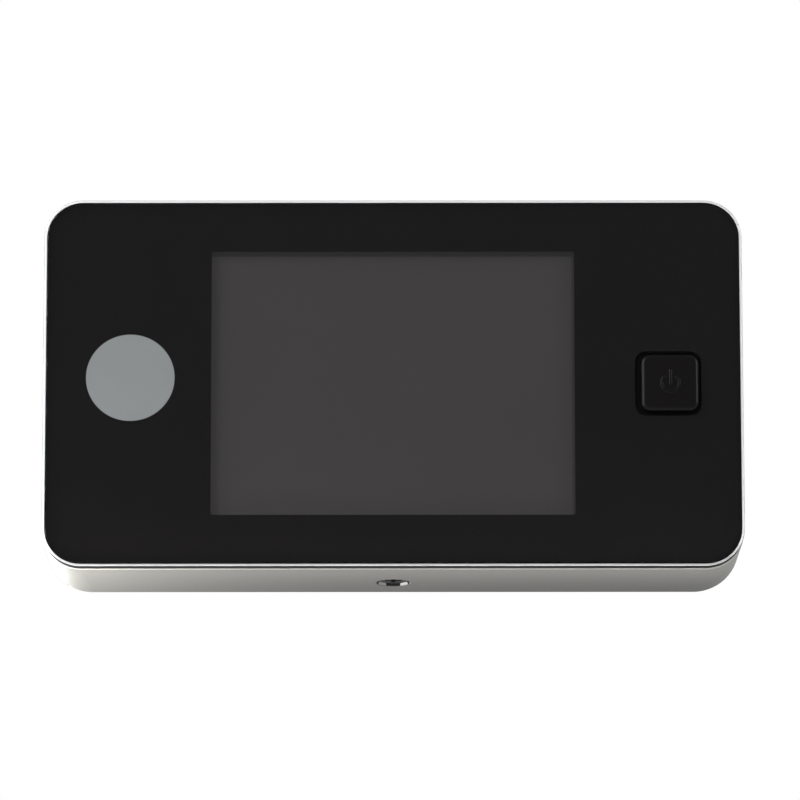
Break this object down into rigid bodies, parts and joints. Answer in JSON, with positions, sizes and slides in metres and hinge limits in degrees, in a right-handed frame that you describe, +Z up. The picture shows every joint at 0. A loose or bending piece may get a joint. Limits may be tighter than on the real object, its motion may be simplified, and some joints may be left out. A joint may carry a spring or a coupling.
{
  "type": "peephole door camera",
  "caption": "Flat screen unit with a square push button, hung on a hooked door plate, with a lens barrel and clamp sleeve for a door's peephole.",
  "frame": {"origin": "on the peephole's axis at the door's inner face", "axes": "+Y into the door towards the outside, +Z up, +X to the right as seen from the room; the screen faces -Y"},
  "size_m": [0.127, 0.0705, 0.0682],
  "materials": {
    "housing_plastic": "fine satin moulded grey",
    "rim_silver": "bright silver, smooth",
    "film_black": "flat black print",
    "panel_clear": "clear, high gloss",
    "foam_black": "closed-cell foam",
    "display_glass": "dark grey display, unlit",
    "tray_steel": "pressed tray",
    "flex_amber": "polyimide film",
    "connector_plastic": "natural moulded",
    "board_green": "solder mask",
    "chip_black": "moulded epoxy",
    "button_black": "satin black",
    "screw_steel": "zinc plated",
    "cell_jacket": "printed jacket, plain",
    "contact_nickel": "nickel plated spring strip",
    "plate_steel": "zinc plated pressing",
    "sleeve_nickel": "nickel plated brass",
    "barrel_nickel": "satin nickel plated brass",
    "washer_rubber": "smooth",
    "lens_black": "anodised black",
    "lens_glass": "coated, clear"
  },
  "bodies": {
    "door_plate": {"door_plate": "plate_steel", "lock_tab": "plate_steel", "door_pad": "foam_black"},
    "clamp_sleeve": {"clamp_sleeve": "sleeve_nickel"},
    "camera_barrel": {"camera_barrel": "barrel_nickel", "barrel_washer": "washer_rubber", "lens_cell": "lens_black", "front_lens": "lens_glass", "lens_ring": "lens_black", "sensor_board": "board_green", "sensor_chip": "chip_black"},
    "power_button": {"power_button": "button_black", "switch_plunger": "chip_black"},
    "lock_screw": {"lock_screw": "screw_steel"},
    "battery_cover_left": {"battery_cover_left": "housing_plastic", "cover_pad_left": "foam_black"},
    "battery_cover_right": {"battery_cover_right": "housing_plastic", "cover_pad_right": "foam_black"},
    "monitor": {"rear_housing": "housing_plastic", "front_frame": "rim_silver", "panel_film": "film_black", "front_panel": "panel_clear", "lcd_gasket": "foam_black", "lcd_glass": "display_glass", "lcd_backlight": "tray_steel", "lcd_flex": "flex_amber", "flex_connector": "connector_plastic", "main_board": "board_green", "board_components": "chip_black", "camera_socket": "connector_plastic", "button_switch": "chip_black", "board_screws": "screw_steel", "housing_screws": "screw_steel", "battery_cell_1": "cell_jacket", "battery_cell_2": "cell_jacket", "battery_cell_3": "cell_jacket", "battery_cell_4": "cell_jacket", "upper_contact_left": "contact_nickel", "upper_contact_right": "contact_nickel", "lower_contacts_left": "contact_nickel", "lower_contacts_right": "contact_nickel"}
  },
  "joints": [
    {"name": "unit_lift", "type": "slide", "parent": "door_plate", "child": "monitor", "axis": [0, 0, 1], "range_m": [0, 0.005]},
    {"name": "button_press", "type": "slide", "parent": "monitor", "child": "power_button", "axis": [0, 1, 0], "range_m": [0, 0.0004], "stiffness_N_per_m": 400, "springref_m": -0.001},
    {"name": "lock_screw_out", "type": "slide", "parent": "monitor", "child": "lock_screw", "axis": [0, 0, -1], "range_m": [0, 0.008]},
    {"name": "cover_left_open", "type": "hinge", "parent": "monitor", "child": "battery_cover_left", "pos_m": [-0.0444, -0.0012, -0.0276], "axis": [-1, 0, 0], "range_deg": [0, 90]},
    {"name": "cover_right_open", "type": "hinge", "parent": "monitor", "child": "battery_cover_right", "pos_m": [0.0444, -0.0012, -0.0276], "axis": [-1, 0, 0], "range_deg": [0, 90]},
    {"name": "sleeve_turn", "type": "hinge", "parent": "door_plate", "child": "clamp_sleeve", "pos_m": [0, 0, 0], "axis": [0, 1, 0], "range_deg": [-4679, 1439]},
    {"name": "barrel_reach", "type": "slide", "parent": "door_plate", "child": "camera_barrel", "axis": [0, 1, 0], "range_m": [-0.004, 0.013]}
  ],
  "couplings": [
    {"joint": "barrel_reach", "follows": "sleeve_turn", "m_per_rad": -0.00015915}
  ]
}
